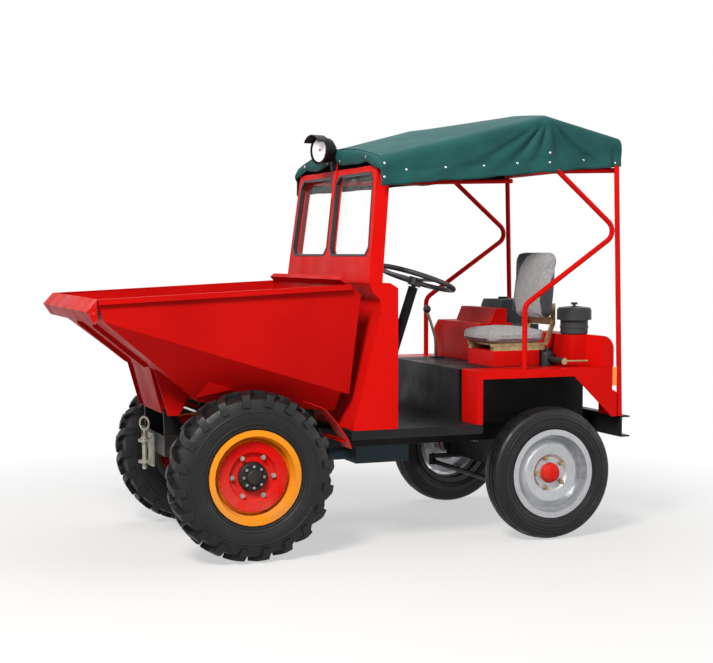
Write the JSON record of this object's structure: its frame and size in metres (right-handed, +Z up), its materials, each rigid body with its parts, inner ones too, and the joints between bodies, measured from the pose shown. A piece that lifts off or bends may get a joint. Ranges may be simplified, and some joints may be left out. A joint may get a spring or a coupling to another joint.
{
  "type": "site dumper",
  "caption": "Front-tipping site dumper: steel skip over a driven front axle, steered rear axle, open driver's place under a canvas canopy.",
  "frame": {"origin": "middle of the bounding box on the ground, between the wheels", "axes": "+X forward, +Y left, +Z up, metres"},
  "size_m": [2.82, 1.338, 2.192],
  "materials": {
    "red_paint": "glossy brushed-on red machine enamel",
    "black_paint": "semi-gloss black chassis paint",
    "tyre_rubber": "dull black tyre rubber",
    "yellow_paint": "orange-yellow rim with a red disc",
    "silver_paint": "silver wheel paint",
    "canvas": "coated green canvas",
    "seat_fabric": "grey woven seat cloth with dark bolsters",
    "gold_zinc": "yellow-passivated zinc plate",
    "engine_paint": "blue-grey engine enamel",
    "dark_paint": "dark grey enamel",
    "clear_glass": "flat clear safety glass",
    "lamp_glass": "fluted lamp glass",
    "amber_plastic": "ribbed amber lens",
    "black_plastic": "moulded black plastic",
    "pale_zinc": "dull zinc plate, weathered",
    "chrome_rod": "hard chrome"
  },
  "bodies": {
    "chassis": {"chassis_frame": "black_paint", "front_axle": "black_paint", "rear_axle": "black_paint", "gearbox": "engine_paint", "engine": "engine_paint", "platform": "black_paint", "fender_left": "red_paint", "fender_right": "red_paint", "rear_hood": "red_paint", "engine_cover": "red_paint", "scuttle": "red_paint", "windscreen_frame": "red_paint", "windscreen_glass": "clear_glass", "mudguards": "red_paint", "skip_brackets": "black_paint", "canopy_frame": "red_paint", "canopy": "canvas", "work_lamp": "black_plastic", "work_lamp_lens": "lamp_glass", "rear_lamps": "amber_plastic", "seat_base": "red_paint", "seat_rails": "gold_zinc", "seat_cushion": "seat_fabric", "seat_back": "seat_fabric", "steering_column": "black_paint", "controls": "black_plastic", "air_filter": "dark_paint", "fuel_tank": "dark_paint", "tow_clevis": "pale_zinc", "tow_pin": "pale_zinc"},
    "skip": {"skip_floor": "red_paint", "skip_front": "red_paint", "skip_rear": "red_paint", "skip_left": "red_paint", "skip_right": "red_paint", "skip_hinge": "red_paint"},
    "tip_barrel": {"tip_barrel": "black_paint"},
    "tip_rod": {"tip_rod": "chrome_rod"},
    "steering_wheel": {"steering_wheel": "black_plastic"},
    "front_wheel_left": {"front_tyre_left": "tyre_rubber", "front_rim_left": "yellow_paint", "front_hub_left": "black_paint"},
    "front_wheel_right": {"front_tyre_right": "tyre_rubber", "front_rim_right": "yellow_paint", "front_hub_right": "black_paint"},
    "knuckle_left": {"knuckle_left": "black_paint"},
    "knuckle_right": {"knuckle_right": "black_paint"},
    "tie_rod": {"tie_rod": "black_paint"},
    "rear_wheel_left": {"rear_tyre_left": "tyre_rubber", "rear_wheel_left": "silver_paint"},
    "rear_wheel_right": {"rear_tyre_right": "tyre_rubber", "rear_wheel_right": "silver_paint"}
  },
  "joints": [
    {"name": "skip_tip", "type": "hinge", "parent": "chassis", "child": "skip", "pos_m": [0.935, 0, 0.69], "axis": [0, 1, 0], "range_deg": [0, 60]},
    {"name": "ram_swing", "type": "hinge", "parent": "chassis", "child": "tip_barrel", "pos_m": [0.335, 0, 0.5], "axis": [0, -1, 0], "range_deg": [0, 6]},
    {"name": "ram_slide", "type": "slide", "parent": "tip_barrel", "child": "tip_rod", "axis": [0.9252, 0, 0.3794], "range_m": [0, 0.09]},
    {"name": "front_left_spin", "type": "hinge", "parent": "chassis", "child": "front_wheel_left", "pos_m": [0.635, 0.56, 0.405], "axis": [0, 1, 0], "continuous": true},
    {"name": "front_right_spin", "type": "hinge", "parent": "chassis", "child": "front_wheel_right", "pos_m": [0.635, -0.56, 0.405], "axis": [0, 1, 0], "continuous": true},
    {"name": "steer_left", "type": "hinge", "parent": "chassis", "child": "knuckle_left", "pos_m": [-0.935, 0.48, 0.338], "axis": [0, 0, 1], "range_deg": [-30, 30]},
    {"name": "steer_right", "type": "hinge", "parent": "chassis", "child": "knuckle_right", "pos_m": [-0.935, -0.48, 0.338], "axis": [0, 0, 1], "range_deg": [-30, 30]},
    {"name": "tie_rod_swing", "type": "hinge", "parent": "knuckle_left", "child": "tie_rod", "pos_m": [-0.785, 0.48, 0.27], "axis": [0, 0, 1], "range_deg": [-30, 30]},
    {"name": "steering_wheel_turn", "type": "hinge", "parent": "chassis", "child": "steering_wheel", "pos_m": [-0.132, 0.2, 0.6], "axis": [-0.3178, 0, 0.9482], "range_deg": [-450, 450]},
    {"name": "rear_left_spin", "type": "hinge", "parent": "knuckle_left", "child": "rear_wheel_left", "pos_m": [-0.935, 0.595, 0.338], "axis": [0, 1, 0], "continuous": true},
    {"name": "rear_right_spin", "type": "hinge", "parent": "knuckle_right", "child": "rear_wheel_right", "pos_m": [-0.935, -0.595, 0.338], "axis": [0, 1, 0], "continuous": true}
  ],
  "couplings": [
    {"joint": "ram_swing", "follows": "skip_tip", "ratio": 0.0969},
    {"joint": "ram_slide", "follows": "skip_tip", "m_per_rad": 0.0807},
    {"joint": "steer_right", "follows": "steer_left", "ratio": 1},
    {"joint": "tie_rod_swing", "follows": "steer_left", "ratio": -1},
    {"joint": "steering_wheel_turn", "follows": "steer_left", "ratio": -15}
  ]
}
